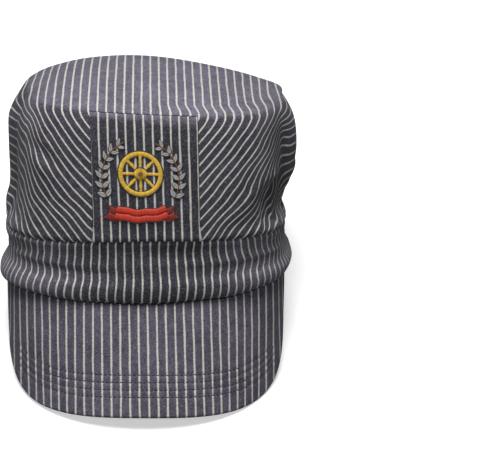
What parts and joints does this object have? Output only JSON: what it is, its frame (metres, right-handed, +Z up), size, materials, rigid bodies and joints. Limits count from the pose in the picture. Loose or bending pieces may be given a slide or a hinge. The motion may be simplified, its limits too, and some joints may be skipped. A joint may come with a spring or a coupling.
{
  "type": "engineer cap",
  "caption": "Soft striped denim work cap with a full gathered crown, tall headband, stiff curved visor and an embroidered front panel.",
  "frame": {"origin": "middle of the cap's box, on the surface that it rests on", "axes": "+Z up, -Y towards the visor, +X towards the wearer's left"},
  "size_m": [0.1982, 0.2592, 0.173],
  "materials": {
    "crown_cloth": "striped denim, off-white lines on dark blue-grey",
    "band_cloth": "striped denim, folded double",
    "visor_cloth": "striped denim over a stiff board, four rows of dark stitching",
    "gold_thread": "satin stitch",
    "grey_thread": "satin stitch",
    "red_thread": "satin stitch"
  },
  "bodies": {
    "root": {"crown": "crown_cloth", "front_panel": "crown_cloth", "band": "band_cloth", "visor": "visor_cloth", "emblem_wheel": "gold_thread", "emblem_wreath_left": "grey_thread", "emblem_wreath_right": "grey_thread", "emblem_ribbon": "red_thread"}
  },
  "joints": []
}
